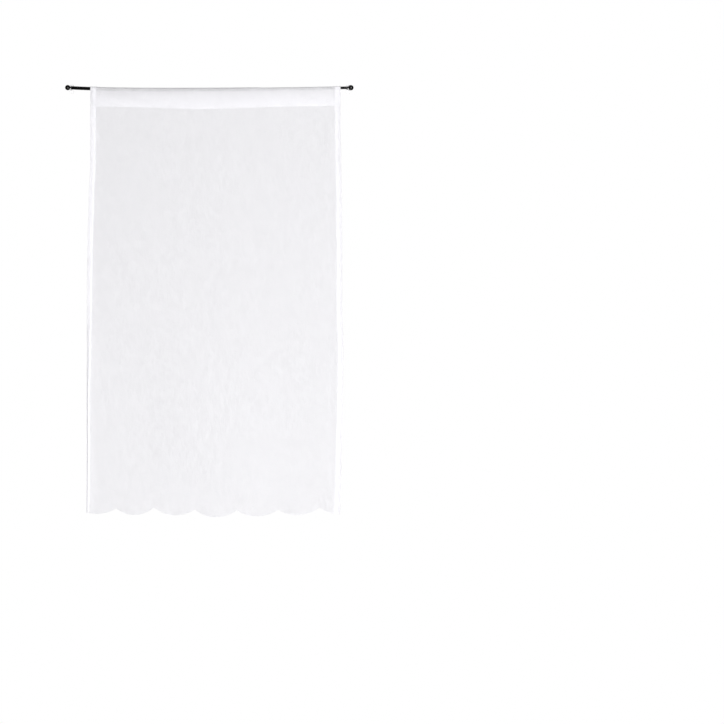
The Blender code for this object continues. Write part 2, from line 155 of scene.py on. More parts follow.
# Faint creases: the two ends of each, its half width and its depth towards the front.
Crease = namedtuple("Crease", "x z end_x end_z spread depth")
CREASE_REACH = 3.0
CREASES = (
    Crease(0.0705, -0.0660, 0.0812, -0.1050, 0.0022, -0.00060),
    Crease(0.0640, -0.0750, 0.0665, -0.1200, 0.0026, 0.00040),
    Crease(0.5468, -0.0420, 0.5478, -0.1620, 0.0028, 0.00042),
    Crease(0.4780, -0.8690, 0.5120, -0.8500, 0.0042, 0.00042),
    Crease(0.1880, -0.1090, 0.2260, -0.1180, 0.0036, -0.00018),
    Crease(0.2340, -0.1500, 0.2600, -0.2050, 0.0040, -0.00020),
    Crease(0.3600, -0.0520, 0.3530, -0.1300, 0.0034, 0.00016),
    Crease(0.1330, -0.1130, 0.1270, -0.2060, 0.0038, 0.00018),
    Crease(0.4400, -0.2500, 0.4480, -0.4100, 0.0060, -0.00020),
    Crease(0.2900, -0.5200, 0.2840, -0.7300, 0.0070, 0.00024),
)

# Unevenness of the hanging cloth, as sizes across and down and a depth, and the ripples of the pocket.
Ripple = namedtuple("Ripple", "across down depth seed")
RIPPLES = (
    Ripple(0.1400, 0.3000, 0.00090, 3.1),
    Ripple(0.0480, 0.1300, 0.00009, 11.7),
    Ripple(0.0130, 0.0520, 0.00002, 23.9),
)
RIPPLE_FADE = 0.0350
POCKET_RIPPLE_SIZE = 0.0170
POCKET_RIPPLE_DEPTH = 0.00045
POCKET_RIPPLE_SEED = 41.3

# Grid of the sheet.
COLUMNS_PER_SCALLOP = 30
PANEL_ROWS = 190
HEM_STEPS = 8
FOLD_STEPS = 4
FRONT_LEG_STEPS = 12
OVER_ROD_STEPS = 18
BACK_LEG_STEPS = 12
LOWER_FOLD_STEPS = 5
TURN_UNDER_STEPS = 7

# Sewing thread
STITCH_PITCH = 0.0026
STITCH_LENGTH = 0.0021
THREAD_RADIUS = 0.00011
THREAD_END_SHARE = 0.55
STITCH_RISE = 0.00010
STITCH_RINGS = 5
STITCH_SIDES = 5
HEM_STITCH_INSET = 0.0013

# Camera, as the photograph was taken, and the floor.
CAMERA_X = 0.6088
CAMERA_Z = -0.5731
CAMERA_DISTANCE = 3.5
PICTURE_WIDTH = 1.513
SENSOR_WIDTH = 36.0
FLOOR_Z = -1.90
FLOOR_RADIUS = 2.6
FLOOR_SIDES = 96
FLOOR_FADE_FROM = 0.35
FLOOR_PALENESS = 0.93
FLOOR_ROUGHNESS = 0.6
FLOOR_GLOW = 0.75


def smooth_step(value):
    value = min(max(value, 0.0), 1.0)
    return value * value * (3 - 2 * value)


# The rod's line


def rod_drop(x):
    """How far the rod's axis lies below the necks at x."""
    if x < SAG_LOWEST_X:
        reach = (SAG_LOWEST_X - x) / SAG_LOWEST_X
        return ROD_SAG * (1 - reach**SAG_LEFT_POWER)
    reach = (x - SAG_LOWEST_X) / (HOOK_SPACING - SAG_LOWEST_X)
    return ROD_SAG * (1 - reach**SAG_RIGHT_POWER)


def rod_slope(x):
    """Angle of the rod's axis at x, positive where it climbs towards +X."""
    return math.atan2(rod_drop(x - SLOPE_STEP) - rod_drop(x + SLOPE_STEP), 2 * SLOPE_STEP)


def rod_point(x):
    return Vector((x, -ROD_STANDOFF, -rod_drop(x)))


# Meshes


def add_piece(name, builder, material, sharp_angle=PIECE_SHARP_ANGLE):
    """Turn a bmesh into a piece that rides on the part."""
    mesh = bpy.data.meshes.new(name)
    builder.to_mesh(mesh)
    builder.free()
    mesh.shade_smooth()
    if sharp_angle:
        mesh.set_sharp_from_angle(angle=math.radians(sharp_angle))
    mesh.materials.append(material)
    piece = bpy.data.objects.new(name, mesh)
    bpy.context.scene.collection.objects.link(piece)
    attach(piece, "root")
    return piece


def bridge_rings(builder, first, second):
    count = len(first)
    for i in range(count):
        j = (i + 1) % count
        builder.faces.new((first[i], first[j], second[j], second[i]))


# Rod pieces


def ring_at(builder, centre, turn, radius, sides):
    """A ring of vertices round the X axis, turned by a matrix and moved to centre."""
    ring = []
    for i in range(sides):
        angle = 2 * math.pi * i / sides
        offset = Vector((0, radius * math.cos(angle), radius * math.sin(angle)))
        ring.append(builder.verts.new(centre + turn @ offset))
    return ring


def lip(x, radius, inwards, outer):
    """Points round one edge of a tube's end; inwards is +1 at the left end and -1 at the right end."""
    points = []
    for i in range(TUBE_LIP_STEPS + 1):
        angle = math.pi / 2 * i / TUBE_LIP_STEPS
        along = x + inwards * TUBE_LIP_RADIUS * (1 - math.cos(angle))
        step = TUBE_LIP_RADIUS * (1 - math.sin(angle))
        points.append((along, radius - step if outer else radius + step))
    return points


def make_tube(name, start, end, diameter, wall, material):
    """A thin-walled tube along the rod's line with rounded rims."""
    outer, bore = diameter / 2, diameter / 2 - wall
    count = round((end - start) / TUBE_STATION_STEP)
    inside = [start + (end - start) * i / count for i in range(1, count)]
    profile = lip(start, outer, 1, True) + [(x, outer) for x in inside] + lip(end, outer, -1, True)[::-1]
    profile += lip(end, bore, -1, False) + [(x, bore) for x in inside[::-1]]
    profile += lip(start, bore, 1, False)[::-1]
    builder = bmesh.new()
    rings = []
    for x, radius in profile:
        turn = Matrix.Rotation(-rod_slope(x), 3, "Y")
        rings.append(ring_at(builder, rod_point(x), turn, radius, ROUND_SIDES))
    for i, ring in enumerate(rings):
        bridge_rings(builder, ring, rings[(i + 1) % len(rings)])
    bmesh.ops.recalc_face_normals(builder, faces=builder.faces)
    return add_piece(name, builder, material)


def rounded_rim(along, radius, inwards):
    """Points round the shoulder's edge, with inwards as the direction to its middle."""
    points = []
    for i in range(SHOULDER_STEPS + 1):
        angle = math.pi / 2 * i / SHOULDER_STEPS
        points.append((
            along + inwards * SHOULDER_ROUNDING * (1 - math.sin(angle)),
            radius - SHOULDER_ROUNDING * (1 - math.cos(angle)),
        ))
    return points


def finial_profile(tube_diameter, tube_wall):
    """Distance outwards from the neck's middle, and radius, from the plug's end to the ball's pole."""
    plug_radius = tube_diameter / 2 - tube_wall - CLEARANCE
    shoulder = -NECK_LENGTH / 2 - SHOULDER_LENGTH
    plug_end = shoulder - PLUG_LENGTH
    profile = [(plug_end, plug_radius * PLUG_END_SHARE), (plug_end + PLUG_CHAMFER, plug_radius)]
    profile += [(shoulder, plug_radius)]
    profile += rounded_rim(shoulder, tube_diameter / 2, 1)[::-1]
    profile += rounded_rim(shoulder + SHOULDER_LENGTH, tube_diameter / 2, -1)
    profile += [(-NECK_LENGTH / 2, NECK_DIAMETER / 2), (NECK_LENGTH / 2, NECK_DIAMETER / 2)]
    radius = BALL_DIAMETER / 2
    neck_angle = math.asin(NECK_DIAMETER / 2 / radius)
    centre = NECK_LENGTH / 2 + radius * math.cos(neck_angle)
    for i in range(1, BALL_STEPS):
        angle = neck_angle + (math.pi - neck_angle) * i / BALL_STEPS
        profile.append((centre - radius * math.cos(angle), radius * math.sin(angle)))
    return profile, centre + radius


def make_finial(name, x, outwards, tube_diameter, tube_wall, material):
    profile, pole = finial_profile(tube_diameter, tube_wall)
    tilt = Matrix.Rotation(-rod_slope(x), 3, "Y")
    origin = rod_point(x)
    builder = bmesh.new()
    rings = []
    for along, radius in profile:
        centre = origin + tilt @ Vector((outwards * along, 0, 0))
        rings.append(ring_at(builder, centre, tilt, radius, ROUND_SIDES))
    for first, second in zip(rings, rings[1:]):
        bridge_rings(builder, first, second)
    builder.faces.new(rings[0])
    tip = builder.verts.new(origin + tilt @ Vector((outwards * pole, 0, 0)))
    for i, vertex in enumerate(rings[-1]):
        builder.faces.new((vertex, rings[-1][(i + 1) % ROUND_SIDES], tip))
    bmesh.ops.recalc_face_normals(builder, faces=builder.faces)
    return add_piece(name, builder, material)


def make_hook(name, node, material):
    """The hook's solid again, with its edges rounded."""
    builder = bmesh.new()
    builder.from_mesh(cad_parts[node].data)
    bmesh.ops.remove_doubles(builder, verts=builder.verts, dist=WELD_DISTANCE)
    bmesh.ops.dissolve_limit(
        builder, angle_limit=math.radians(FLAT_ANGLE), verts=builder.verts, edges=builder.edges
    )
    hook = add_piece(name, builder, material, sharp_angle=None)
    rounding = hook.modifiers.new("rounding", "BEVEL")
    rounding.width = HOOK_EDGE_BEVEL
    rounding.segments = HOOK_BEVEL_STEPS
    rounding.limit_method = "ANGLE"
    rounding.angle_limit = math.radians(HOOK_SHARP_ANGLE)
    rounding.harden_normals = True
    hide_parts(node)
    return hook


# The cloth's shape


def row_value(height, column):
    """A column of EDGE_ROWS at a height, read along smooth curves between the rows."""
    heights = [row.height for row in EDGE_ROWS]
    values = [getattr(row, column) for row in EDGE_ROWS]
    if height >= heights[0]:
        return values[0]
    if height <= heights[-1]:
        return values[-1]
    i = max(k for k in range(len(heights) - 1) if heights[k] >= height)
    share = (heights[i] - height) / (heights[i] - heights[i + 1])
    return values[i] + (values[i + 1] - values[i]) * smooth_step(share)


def scalloped_height(x):
    """Height of the lower edge: one circular arc for each scallop."""
    start_x, start_height = FIRST_CUSP_X, FIRST_CUSP_HEIGHT
    for scallop in SCALLOPS:
        if x <= scallop.end_x:
            half = (scallop.end_x - start_x) / 2
            radius = (half**2 + scallop.depth**2) / (2 * scallop.depth)
            from_middle = x - start_x - half
            hang = math.sqrt(radius**2 - from_middle**2) - (radius - scallop.depth)
            share = (x - start_x) / (scallop.end_x - start_x)
            return start_height + (scallop.end_height - start_height) * share - hang
        start_x, start_height = scallop.end_x, scallop.end_height
    return start_height


def scallop_lean(x):
    """How far the lower edge leans towards the front at x."""
    start_x = FIRST_CUSP_X
    for scallop in SCALLOPS:
        if x <= scallop.end_x:
            share = (x - start_x) / (scallop.end_x - start_x)
            return scallop.lean * math.sin(math.pi * share) ** 2
        start_x = scallop.end_x
    return 0.0


def fold_depth(x, height, edge_height):
    """How far the soft folds lift the hanging cloth towards the front."""
    total = 0.0
    for fold in FOLDS:
        share = (fold.top - height) / (fold.top - fold.bottom)
        if 0 < share < 1:
            across = (x - fold.x - fold.drift * (fold.top - height)) / fold.spread
            total += fold.depth * math.exp(-across * across) * math.sin(math.pi * share) ** 2
    lean = scallop_lean(x) * smooth_step((edge_height + LEAN_REACH - height) / LEAN_REACH)
    return total + lean


def crease_depth(x, height):
    """How far the faint creases lift the cloth towards the front."""
    total = 0.0
    for crease in CREASES:
        run_x, run_z = crease.end_x - crease.x, crease.end_z - crease.z
        length = math.hypot(run_x, run_z)
        share = ((x - crease.x) * run_x + (height - crease.z) * run_z) / length**2
        if 0 < share < 1:
            across = ((x - crease.x) * run_z - (height - crease.z) * run_x) / length / crease.spread
            if abs(across) < CREASE_REACH:
                total += crease.depth * math.exp(-across * across) * math.sin(math.pi * share) ** 2
    return total


def ripple_depth(x, height):
    """Unevenness of the hanging cloth."""
    total = 0.0
    for ripple in RIPPLES:
        place = Vector((x / ripple.across, height / ripple.down, ripple.seed))
        total += ripple.depth * noise.noise(place)
    return total


def turned_hem(distance, angle):
    """Where a point of a hem lies, sideways and forwards from its inner line, and the cloth's angle there."""
    step = distance / HEM_BEND_STEPS
    sideways, forwards = 0.0, 0.0
    for i in range(HEM_BEND_STEPS):
        bend = math.radians(angle) * smooth_step((i + 0.5) * step / HEM_BEND)
        sideways += math.cos(bend) * step
        forwards += math.sin(bend) * step
    return sideways, forwards, math.radians(angle) * smooth_step(distance / HEM_BEND)


# A column of the sheet: its place, its X at the lower edge or its distance outside the hem's inner line, how
# far it lies behind the front layer, and its place across the flat cloth.
Column = namedtuple("Column", "place value layer across")


def half_turn(distance, first_layer, last_layer, outwards):
    """Points round a fold between two layers, without its ends."""
    radius = abs(last_layer - first_layer) / 2
    middle = (first_layer + last_layer) / 2
    points = []
    for i in range(1, FOLD_STEPS):
        angle = math.pi * i / FOLD_STEPS
        layer = middle + (first_layer - middle) * math.cos(angle)
        points.append((distance + outwards * radius * math.sin(angle), layer))
    return points


def hem_section():
    """A side hem from its inner line outwards, round its outer fold, back, and out again to the cut edge."""
    outward = [SIDE_HEM * i / HEM_STEPS for i in range(1, HEM_STEPS + 1)]
    section = [(distance, 0.0) for distance in outward]
    section += half_turn(SIDE_HEM, 0.0, BACK_LAYER, 1)
    section += [(distance, BACK_LAYER) for distance in reversed(outward)] + [(0.0, BACK_LAYER)]
    section += half_turn(0.0, BACK_LAYER, MIDDLE_LAYER, -1)
    section += [(SIDE_RAW_EDGE * i / HEM_STEPS, MIDDLE_LAYER) for i in range(HEM_STEPS + 1)]
    return section


def section_lengths(section):
    """Length along the section from the inner line to each of its points."""
    lengths, last, total = [], (0.0, 0.0), 0.0
    for point in section:
        total += math.hypot(point[0] - last[0], point[1] - last[1])
        lengths.append(total)
        last = point
    return lengths


def panel_places():
    """X of each column between the hems, where it meets the lower edge."""
    left_line, right_line = EDGE_ROWS[-1].left_line, EDGE_ROWS[-1].right_line
    places = []
    start_x = FIRST_CUSP_X
    for scallop in SCALLOPS:
        step = (scallop.end_x - start_x) / COLUMNS_PER_SCALLOP
        places += [start_x + step * i for i in range(COLUMNS_PER_SCALLOP)]
        start_x = scallop.end_x
    margin = step / 2
    return [left_line, *[x for x in places if left_line + margin < x < right_line - margin], right_line]


def sheet_columns():
    section = hem_section()
    lengths = section_lengths(section)
    places = panel_places()
    total = lengths[-1]
    columns = []
    for (distance, layer), length in reversed(list(zip(section, lengths))):
        columns.append(Column("left", distance, layer, total - length))
    columns += [Column("panel", x, 0.0, total + x - places[0]) for x in places]
    start = total + places[-1] - places[0]
    for (distance, layer), length in zip(section, lengths):
        columns.append(Column("right", distance, layer, start + length))
    return columns


def column_line(column, height):
    """X of the column, its X on the hem's inner line, how far it is turned forwards, and its angle."""
    left, right = row_value(height, "left_line"), row_value(height, "right_line")
    if column.place == "panel":
        bottom = EDGE_ROWS[-1]
        share = (column.value - bottom.left_line) / (bottom.right_line - bottom.left_line)
        x = left + (right - left) * share
        return x, x, 0.0, 0.0
    side, line = (-1, left) if column.place == "left" else (1, right)
    angle = row_value(height, column.place + "_turn")
    sideways, forwards, bend = turned_hem(max(column.value, 0.0), angle)
    return line + side * (sideways + min(column.value, 0.0)), line, forwards, side * bend


def hem_share(column, heading_x):
    """1 in a side hem, falling to 0 a little way inside it."""
    if column.place != "panel":
        return 1.0
    inside = min(heading_x - EDGE_ROWS[0].left_line, EDGE_ROWS[0].right_line - heading_x)
    return 1 - smooth_step(inside / HEM_GAP_REACH)


def panel_point(column, height, stitch_height, edge_height):
    """A point of the hanging cloth."""
    x, line_x, forwards, bend = column_line(column, height)
    forwards += fold_depth(line_x, height, edge_height)
    fade = smooth_step((stitch_height - height) / RIPPLE_FADE)
    forwards += (crease_depth(x, height) + ripple_depth(x, height)) * fade
    front = Vector((x, -ROD_STANDOFF - SOLID_THICKNESS - forwards, height))
    back = Vector((math.sin(bend), math.cos(bend), 0))
    return front + back * (SOLID_THICKNESS / 2 + column.layer)


def pocket_radius(x, share):
    """Radius of the cloth over the rod, a little larger where the side hem lies inside it."""
    narrow = smooth_step((x - POCKET_NARROWS_FROM) / (POCKET_NARROWS_TO - POCKET_NARROWS_FROM))
    radius = OUTER_TUBE_DIAMETER / 2 + (INNER_TUBE_DIAMETER - OUTER_TUBE_DIAMETER) / 2 * narrow
    return radius + POCKET_SLACK + BACK_LAYER * share


def tangent_angle(point, radius, side):
    """Angle where a line from point touches a circle round the origin; side is -1 in front, +1 behind."""
    away = math.acos(radius / point.length)
    angle = math.atan2(point.y, point.x) + side * away
    return angle + 2 * math.pi if side < 0 else angle


def between(first, second, steps):
    """Points on the way from first to second, without first."""
    return [first + (second - first) * (i / steps) for i in range(1, steps + 1)]


def middle_drop(x):
    """How much lower the heading's edge and stitches lie at x than at the sides, measured from the rod."""
    across = (x - HEADING_MIDDLE_X) / HEADING_MIDDLE_SPREAD
    return HEADING_MIDDLE_DROP * math.exp(-across * across)


def pocket_path(x, share):
    """The cloth's way as (Y, Z) from the rod's axis: up from the stitches, over the rod and up inside."""
    radius = pocket_radius(x, share)
    stitch_drop = STITCH_BELOW_ROD + middle_drop(x)
    heading_drop = HEADING_BELOW_ROD + middle_drop(x)
    front_gap = GAP_BEHIND_FRONT + HEM_GAP_BEHIND_FRONT * share
    fold_gap = GAP_IN_HEADING + HEM_GAP_IN_HEADING * share
    front = Vector((-SOLID_THICKNESS / 2, -stitch_drop))
    back = front + Vector((front_gap + fold_gap, 0))
    start, end = tangent_angle(front, radius, -1), tangent_angle(back, radius, 1)
    path = between(front, radius * Vector((math.cos(start), math.sin(start))), FRONT_LEG_STEPS)
    for i in range(1, OVER_ROD_STEPS + 1):
        angle = start + (end - start) * i / OVER_ROD_STEPS
        path.append(radius * Vector((math.cos(angle), math.sin(angle))))
    leg = (path[-1] - back).normalized()
    path += between(path[-1], back, BACK_LEG_STEPS)
    turn = fold_gap / 2
    low = Vector((back.x, turn - heading_drop))
    path.append(low)
    centre = low - Vector((turn, 0))
    for i in range(1, LOWER_FOLD_STEPS + 1):
        angle = -math.pi * i / LOWER_FOLD_STEPS
        path.append(centre + turn * Vector((math.cos(angle), math.sin(angle))))
    inner = back - Vector((fold_gap, 0))
    path.append(inner)
    rise = HEADING_TURN_UNDER - (HEADING_BELOW_ROD - STITCH_BELOW_ROD)
    path += between(inner, inner + leg * rise, TURN_UNDER_STEPS)
    return [front, *path]


def wrong_sides(path):
    """For each point of a path, the direction to the cloth's wrong side."""
    sides = []
    for i in range(len(path)):
        along = (path[min(i + 1, len(path) - 1)] - path[max(i - 1, 0)]).normalized()
        sides.append(Vector((along.y, -along.x)))
    return sides


def pocket_ripple(x, step):
    """How far the pocket's front and back bulge between the rod and the stitches."""
    if step < FRONT_LEG_STEPS:
        share, seed = step / FRONT_LEG_STEPS, POCKET_RIPPLE_SEED
    else:
        first = FRONT_LEG_STEPS + OVER_ROD_STEPS
        share, seed = (step - first) / BACK_LEG_STEPS, -POCKET_RIPPLE_SEED
    if not 0 < share < 1:
        return 0.0
    wave = noise.noise(Vector((x / POCKET_RIPPLE_SIZE, share, seed)))
    return POCKET_RIPPLE_DEPTH * wave * math.sin(math.pi * share) ** 2


def column_points(column):
    """The column's points from the scalloped edge up, over the rod and round to the heading's cut edge."""
    heading_x = column_line(column, EDGE_ROWS[0].height)[0]
    rod = rod_point(heading_x)
    stitch_height = rod.z - STITCH_BELOW_ROD - middle_drop(heading_x)
    lower_x = column_line(column, EDGE_ROWS[-1].height)[0]
    if column.place == "left":
        lower_x = EDGE_ROWS[-1].left_line - column.value * LEFT_HEM_CURVE_SHARE
    edge_height = scalloped_height(lower_x)
    points, along = [], []
    for i in range(PANEL_ROWS):
        height = edge_height + (stitch_height - edge_height) * i / PANEL_ROWS
        points.append(panel_point(column, height, stitch_height, edge_height))
        along.append(CUT_LENGTH_ABOVE_STITCHES + stitch_height - height)
    path = pocket_path(heading_x, hem_share(column, heading_x))
    length, last = 0.0, path[0]
    for step, (place, wrong) in enumerate(zip(path, wrong_sides(path))):
        length += (place - last).length
        last = place
        moved = place + wrong * (column.layer + pocket_ripple(heading_x, step))
        points.append(Vector((heading_x, rod.y + moved.x, rod.z + moved.y)))
        along.append(CUT_LENGTH_ABOVE_STITCHES - length)
    return points, along


def make_curtain(material):
    """The whole cut length of cloth as one sheet; its UV map is its place in metres on the flat cloth."""
    builder = bmesh.new()
    flat = builder.loops.layers.uv.new("flat")
    columns = sheet_columns()
    grid, places = [], {}
    for column in columns:
        points, along = column_points(column)
        made = [builder.verts.new(point) for point in points]
        for vertex, down in zip(made, along):
            places[vertex] = (column.across, down)
        grid.append(made)
    for first, second in zip(grid, grid[1:]):
        for i in range(len(first) - 1):
            face = builder.faces.new((first[i], second[i], second[i + 1], first[i + 1]))
            for loop in face.loops:
                loop[flat].uv = places[loop.vert]
    curtain = add_piece("curtain_cloth", builder, material, sharp_angle=None)
    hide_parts("curtain")
    return curtain


# Stitching


def resample(points, pitch):
    """Places along a polyline, pitch apart, each with its direction."""
    places, left = [], pitch / 2
    for first, second in zip(points, points[1:]):
        step = second - first
        length = step.length
        while left < length:
            places.append((first + step * (left / length), step / length))
            left += pitch
        left -= length
    return places


def add_stitch(builder, centre, along, out):
    """One stitch: a short thread that rises from the cloth and dips back into it."""
    side = along.cross(out).normalized()
    rings = []
    for i in range(STITCH_RINGS):
        share = i / (STITCH_RINGS - 1)
        swell = math.sin(math.pi * share)
        rise = STITCH_RISE * swell
        radius = THREAD_RADIUS * (THREAD_END_SHARE + (1 - THREAD_END_SHARE) * swell)
        middle = centre + along * (share - 0.5) * STITCH_LENGTH + out * rise
        ring = []
        for k in range(STITCH_SIDES):
            angle = 2 * math.pi * k / STITCH_SIDES
            ring.append(builder.verts.new(middle + radius * (side * math.cos(angle) + out * math.sin(angle))))
        rings.append(ring)
    for first, second in zip(rings, rings[1:]):
        bridge_rings(builder, first, second)
    builder.faces.new(rings[0][::-1])
    builder.faces.new(rings[-1])


def sew(builder, points, out):
    for centre, along in resample(points, STITCH_PITCH):
        add_stitch(builder, centre, along, out)


def make_stitching(material):
    """The rows of stitches that close the pocket and hold the side hems, on the front and on the back."""
    builder = bmesh.new()
    columns = sheet_columns()
    fronts = [column_points(c)[0] for c in columns if c.layer == 0.0]
    sew(builder, [points[PANEL_ROWS] for points in fronts], Vector((0, -1, 0)))
    for place in ("left", "right"):
        near = [c for c in columns if c.place == place and c.layer in (0.0, BACK_LAYER)]
        for layer, out in ((0.0, -1), (BACK_LAYER, 1)):
            row = min((c for c in near if c.layer == layer), key=lambda c: abs(c.value - HEM_STITCH_INSET))
            sew(builder, column_points(row)[0][: PANEL_ROWS + FRONT_LEG_STEPS], Vector((0, out, 0)))
    bmesh.ops.recalc_face_normals(builder, faces=builder.faces)
    return add_piece("stitching", builder, material, sharp_angle=None)


# Materials


class Nodes:
    """Short ways to add nodes to a material."""

    def __init__(self, name):
        self.material = bpy.data.materials.new(name)
        self.material.use_nodes = True
        self.tree = self.material.node_tree
        self.shader = self.tree.nodes["Principled BSDF"]
        self.output = self.tree.nodes["Material Output"]

    def join(self, source, target):
        if isinstance(source, (int, float)):
            target.default_value = source
        else:
            self.tree.links.new(source, target)

    def math(self, operation, first, second=0.0, third=0.0):
        node = self.tree.nodes.new("ShaderNodeMath")
        node.operation = operation
        for value, socket in zip((first, second, third), node.inputs):
            self.join(value, socket)
        return node.outputs[0]

    def ramp(self, value, low, high, to_low=0.0, to_high=1.0):
        """A smooth step from to_low at low to to_high at high."""
        node = self.tree.nodes.new("ShaderNodeMapRange")
        node.interpolation_type = "SMOOTHSTEP"
        for source, name in (
            (value, "Value"), (low, "From Min"), (high, "From Max"), (to_low, "To Min"), (to_high, "To Max"),
        ):
            self.join(source, node.inputs[name])
        return node.outputs["Result"]

    def combine(self, x, y, z=0.0):
        node = self.tree.nodes.new("ShaderNodeCombineXYZ")
        for value, socket in zip((x, y, z), node.inputs):
            self.join(value, socket)
        return node.outputs[0]

    def noise(self, vector, scale, detail=2.0):
        node = self.tree.nodes.new("ShaderNodeTexNoise")
        node.inputs["Scale"].default_value = scale
        node.inputs["Detail"].default_value = detail
        self.tree.links.new(vector, node.inputs["Vector"])
        return node.outputs[0]

    def object_place(self):
        node = self.tree.nodes.new("ShaderNodeTexCoord")
        return node.outputs["Object"]

    def flat_place(self):
        """The place on the flat cloth, in metres, as two numbers."""
        node = self.tree.nodes.new("ShaderNodeUVMap")
        node.uv_map = "flat"
        split = self.tree.nodes.new("ShaderNodeSeparateXYZ")
        self.tree.links.new(node.outputs[0], split.inputs[0])
        return split.outputs[0], split.outputs[1]

    def bump(self, height, distance, strength=1.0):
        node = self.tree.nodes.new("ShaderNodeBump")
        node.inputs["Strength"].default_value = strength
        node.inputs["Distance"].default_value = distance
        self.tree.links.new(height, node.inputs["Height"])
        return node.outputs[0]

    def mix_colour(self, share, first, second):
        node = self.tree.nodes.new("ShaderNodeMix")
        node.data_type = "RGBA"
        self.join(share, node.inputs[0])
        node.inputs[6].default_value = (*first, 1.0)
        node.inputs[7].default_value = (*second, 1.0)
        return node.outputs[2]

    def mix_shader(self, share, first, second):
        node = self.tree.nodes.new("ShaderNodeMixShader")
        self.join(share, node.inputs[0])
        self.tree.links.new(first, node.inputs[1])
        self.tree.links.new(second, node.inputs[2])
        return node.outputs[0]


# Weave: the threads, how full they are where pores are open and where they are closed, the share of light
# that threads scatter forwards, and the slubs, as repeats in a metre across and along a thread.
THREAD_PITCH = 0.00056
THREAD_WAVER = 0.00020
WAVER_REPEATS = 55.0
PORE_OPEN = 0.16
PORE_CLOSED = 0.36
FORWARD_SHARE = 0.43
FINE_SLUBS = (900.0, 110.0)
COARSE_SLUBS = (520.0, 62.0)
SLUB_THIN = 0.78
SLUB_THICK = 1.32
WEFT_SLUB_SHARE = 0.45
SLUB_FILLS_PORES = 0.0275
SLUB_STOPS_LIGHT = 0.025
SLUB_HEIGHT = 0.175
WEAVE_RELIEF = 0.00006
THIN_CLOTH = (0.943, 0.941, 0.950)
THICK_CLOTH = (0.977, 0.975, 0.984)
LIT_THROUGH = (0.958, 0.956, 0.966)
CLOTH_ROUGHNESS = 0.85
CLOTH_GLOSS = 0.15
CLOTH_SHEEN = 0.04
CLOTH_SHEEN_ROUGHNESS = 0.5

# Sewing thread, with its strands as repeats in a metre.
STRAND_REPEATS = 9000.0
STRAND_RELIEF = 0.00002
STRAND_DARK = (0.88, 0.88, 0.89)
STRAND_PALE = (0.965, 0.965, 0.970)
STRAND_ROUGHNESS = (0.45, 0.65)

# Lacquer, with its gloss on the steel tubes and on the ball ends.
TUBE_GLOSS = 0.10
BALL_GLOSS = 0.30
DUST_REPEATS = 420.0
PEEL_REPEATS = 1500.0
PEEL_RELIEF = 0.00002
LACQUER_CLEAN = (0.0015, 0.0015, 0.0015)
LACQUER_DUSTY = (0.0040, 0.0040, 0.0040)
LACQUER_ROUGHNESS = (0.07, 0.13)

# Plastic of the hooks.
FLOW_REPEATS = 160.0
GRAIN_REPEATS = 2600.0
GRAIN_RELIEF = 0.00002
PLASTIC_DULL = (0.80, 0.80, 0.79)
PLASTIC_PALE = (0.86, 0.86, 0.85)
PLASTIC_ROUGHNESS = (0.30, 0.42)


def threads(nodes, place, other, seed):
    """One set of threads: 1 on a thread and 0 between two, how thick it is there, and its phase."""
    spot = nodes.combine(nodes.math("MULTIPLY", place, 2.0), other, seed)
    waver = nodes.noise(spot, WAVER_REPEATS, 1.0)
    shift = nodes.math("MULTIPLY", nodes.math("SUBTRACT", waver, 0.5), 2 * THREAD_WAVER)
    phase = nodes.math("MULTIPLY", nodes.math("ADD", place, shift), 2 * math.pi / THREAD_PITCH)
    full = nodes.math("MULTIPLY_ADD", nodes.math("COSINE", phase), 0.5, 0.5)
    slubs = []
    for across, along in (FINE_SLUBS, COARSE_SLUBS):
        sideways, onwards = nodes.math("MULTIPLY", place, across), nodes.math("MULTIPLY", other, along)
        slubs.append(nodes.noise(nodes.combine(sideways, onwards, seed), 1.0, 0.0))
    thick = nodes.math("ADD", *slubs)
    return full, nodes.ramp(thick, SLUB_THIN, SLUB_THICK, -1.0, 1.0), phase


